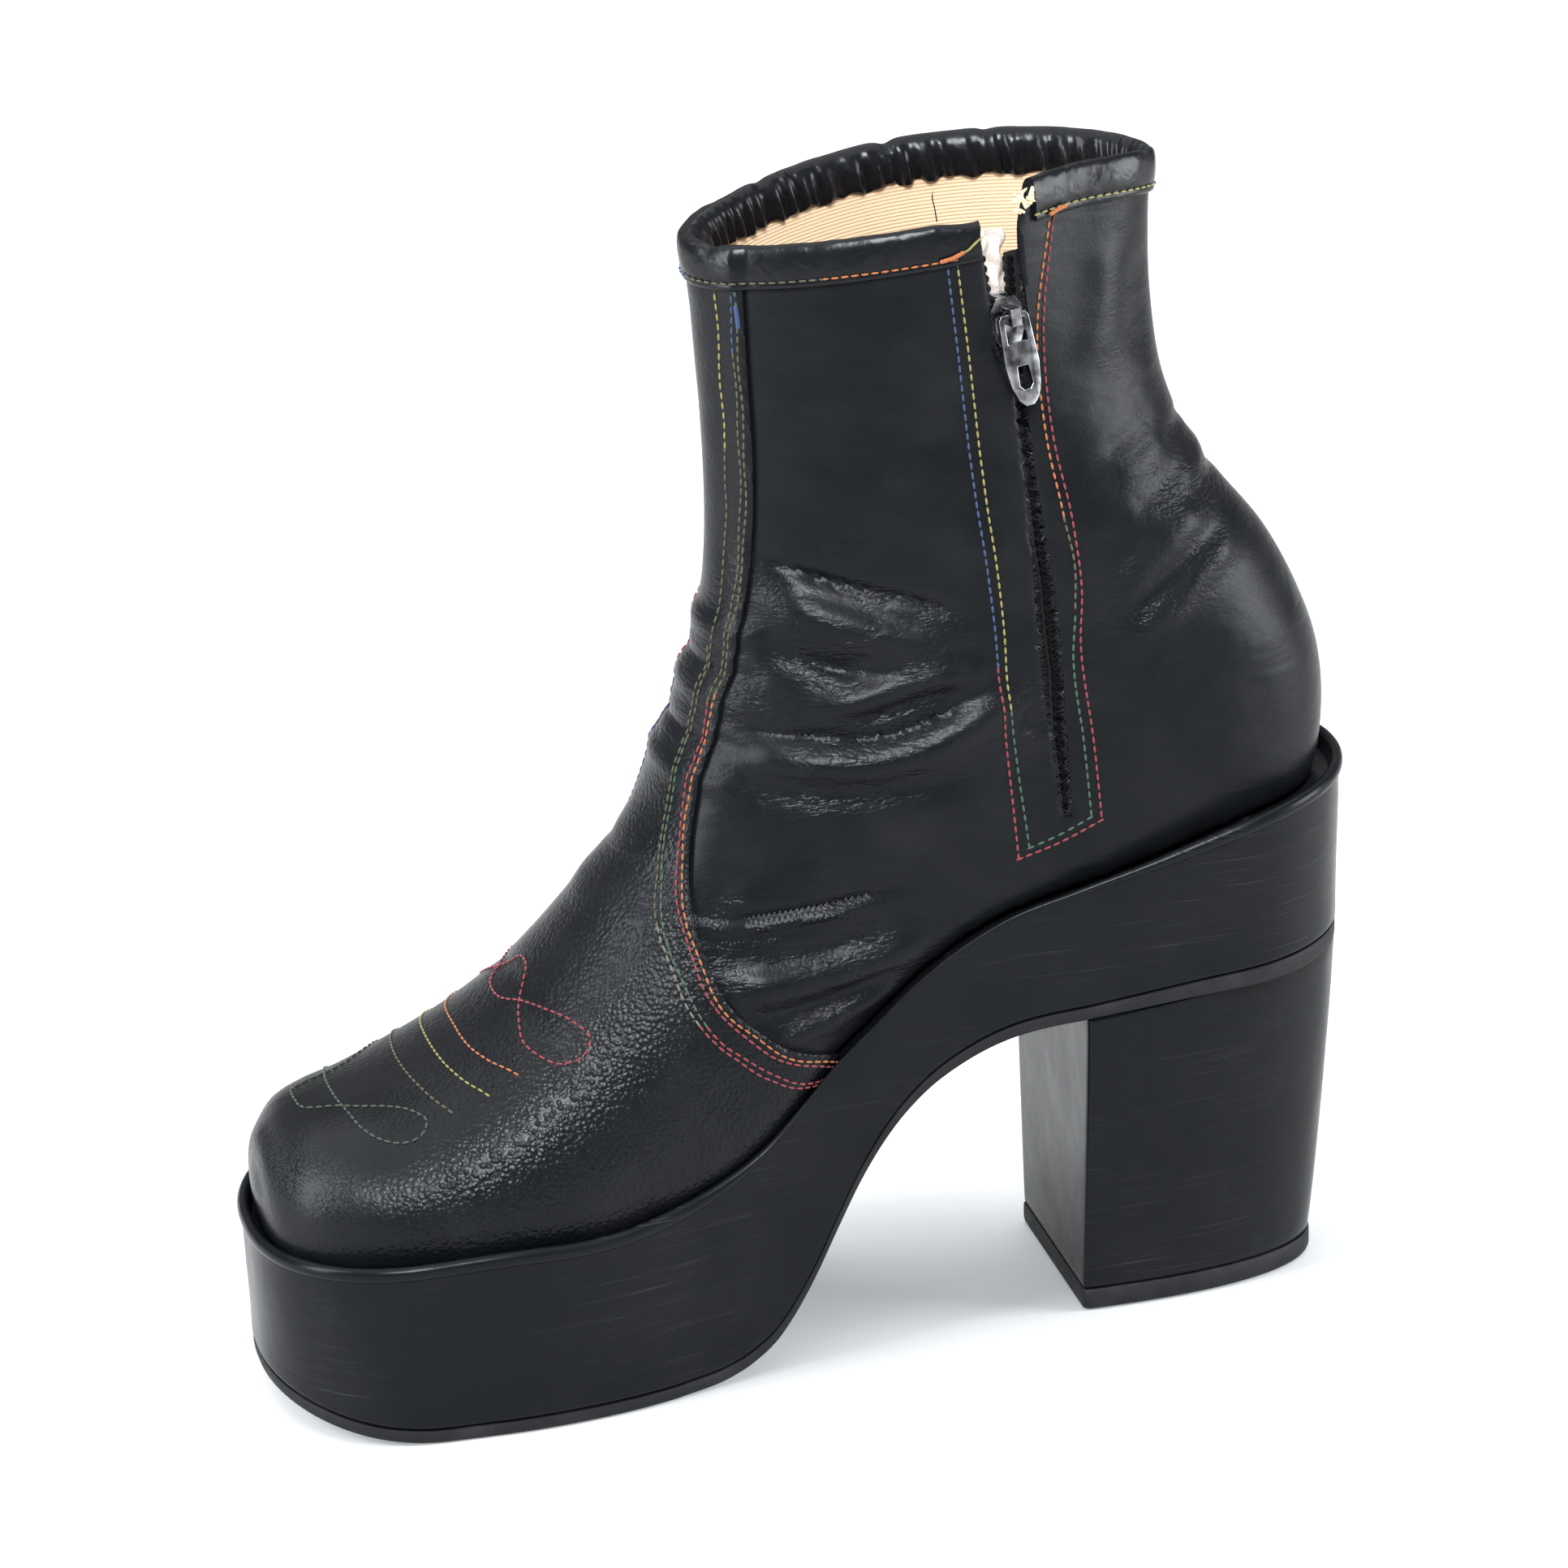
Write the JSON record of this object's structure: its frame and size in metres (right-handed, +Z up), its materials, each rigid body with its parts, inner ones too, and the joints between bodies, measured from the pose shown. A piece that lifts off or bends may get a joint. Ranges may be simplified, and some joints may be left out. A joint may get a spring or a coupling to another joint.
{
  "type": "zip-up platform ankle boot",
  "caption": "Black leather ankle boot with a thick platform, a high block heel, an inner side zip and coloured contrast stitching",
  "frame": {"origin": "under the middle of the boot, on the floor that it stands on", "axes": "+Z up, the toe to -X, the inner side with its zip to -Y"},
  "size_m": [0.25, 0.0918, 0.26],
  "materials": {
    "leather_body": "smooth black calf, satin, creased by wear",
    "leather_vamp": "pebbled black leather, satin",
    "gloss_binding": "glossy folded leather binding",
    "leather_wrap": "smooth black leather over the platform and heel",
    "black_rubber": "matt black rubber",
    "cream_sock": "cream lining leather",
    "black_tape": "woven zip tape",
    "black_nylon": "moulded zip teeth",
    "dark_metal": "gunmetal lacquer, worn"
  },
  "bodies": {
    "boot": {"upper": "leather_body", "vamp": "leather_vamp", "collar_binding": "gloss_binding", "insole": "cream_sock", "platform": "leather_wrap", "outsole": "black_rubber", "heel_block": "leather_wrap", "heel_toplift": "black_rubber", "zip_tape_front": "black_tape", "zip_tape_rear": "black_tape", "zip_teeth_front": "black_nylon", "zip_teeth_rear": "black_nylon", "zip_slider": "dark_metal"},
    "pull": {"zip_pull": "dark_metal"}
  },
  "joints": [
    {"name": "pull_hinge", "type": "hinge", "parent": "boot", "child": "pull", "pos_m": [0.04702, -0.02219, 0.23214], "axis": [-0.9687, -0.2307, -0.0912], "range_deg": [-5, 165]}
  ]
}
